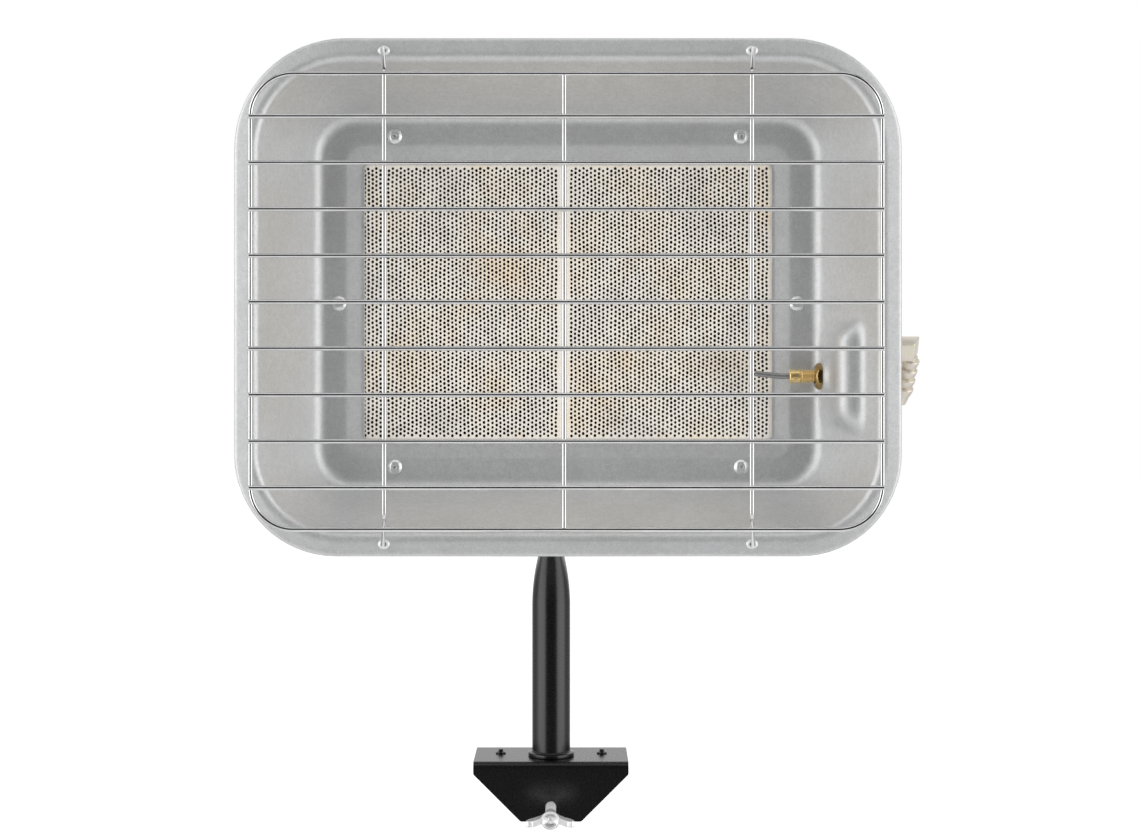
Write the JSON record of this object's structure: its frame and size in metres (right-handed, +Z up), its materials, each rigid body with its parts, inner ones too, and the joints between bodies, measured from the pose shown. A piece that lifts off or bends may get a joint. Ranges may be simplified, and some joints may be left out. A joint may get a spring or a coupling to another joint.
{
  "type": "gas radiant heater",
  "caption": "Clamp-on gas radiant heater: ceramic burner plaques in a drawn steel bowl behind a wire guard, tilting on a tube above a screw clamp.",
  "frame": {"origin": "point on the jaw liner's clamping face, on the clamp screw's axis", "axes": "+Z up along the stand tube, -Y towards the front that radiates, +X to the right seen from the front"},
  "size_m": [0.3808, 0.1437, 0.431],
  "materials": {
    "black_paint": "satin black paint",
    "zinc_plate": "bright zinc plate",
    "galvanised": "fine-spangled galvanised sheet",
    "rivet_alloy": "plain alloy",
    "bright_wire": "bright plated wire",
    "retainer_white": "pale plated disc",
    "ceramic": "dull perforated ceramic",
    "fibre": "pressed mineral fibre",
    "brass": "turned brass",
    "probe_steel": "heat-dulled steel",
    "copper_lead": "drawn copper",
    "seal_rubber": "black rubber",
    "button_plastic": "red moulded plastic"
  },
  "bodies": {
    "stand": {"clamp_bracket": "black_paint", "jaw_liner": "black_paint", "liner_rivets": "black_paint", "clamp_nut": "zinc_plate", "stand_tube": "black_paint", "tube_flange": "black_paint", "tube_plug": "zinc_plate", "tube_bolt": "zinc_plate", "tube_washer": "zinc_plate"},
    "clamp_pad": {"clamp_pad": "zinc_plate"},
    "clamp_screw": {"clamp_screw": "zinc_plate", "clamp_wing": "zinc_plate"},
    "head": {"pivot_bolt": "zinc_plate", "pivot_nut": "zinc_plate", "pivot_washers": "zinc_plate", "inlet_nut": "zinc_plate", "hose_elbow": "zinc_plate", "gas_baffle": "zinc_plate", "plaque_retainer": "zinc_plate", "button_spring": "zinc_plate", "reflector": "galvanised", "burner_housing": "galvanised", "pivot_ear_left": "galvanised", "pivot_ear_right": "galvanised", "valve_bracket": "galvanised", "mixing_tube": "galvanised", "burner_rivets": "rivet_alloy", "ear_rivets": "rivet_alloy", "valve_bracket_rivets": "rivet_alloy", "guard_rim_wire": "bright_wire", "guard_cross_wires": "bright_wire", "guard_upright_wires": "bright_wire", "guard_retainers": "retainer_white", "plaque_left": "ceramic", "plaque_right": "ceramic", "plaque_joint": "ceramic", "plaque_gasket": "fibre", "injector": "brass", "gas_valve": "brass", "thermocouple_sleeve": "brass", "thermocouple_locknuts": "brass", "thermocouple_union": "brass", "thermocouple_probe": "probe_steel", "thermocouple_lead": "copper_lead", "inlet_seal": "seal_rubber"},
    "valve_button": {"valve_button": "button_plastic", "valve_stem": "zinc_plate"}
  },
  "joints": [
    {"name": "head_tilt", "type": "hinge", "parent": "stand", "child": "head", "pos_m": [0, -0.0205, 0.1775], "axis": [1, 0, 0], "range_deg": [-45, 15]},
    {"name": "clamp_feed", "type": "slide", "parent": "stand", "child": "clamp_pad", "axis": [0, 1, 0], "range_m": [-0.005, 0.021]},
    {"name": "clamp_turn", "type": "hinge", "parent": "clamp_pad", "child": "clamp_screw", "pos_m": [0, -0.065, 0], "axis": [0, 1, 0], "range_deg": [-1801, 7561]},
    {"name": "button_press", "type": "slide", "parent": "head", "child": "valve_button", "axis": [0, 0, -1], "range_m": [0, 0.006], "stiffness_N_per_m": 800, "springref_m": -0.004, "deforming": ["button_spring"]}
  ],
  "couplings": [
    {"joint": "clamp_turn", "follows": "clamp_feed", "rad_per_m": 6283.2}
  ]
}
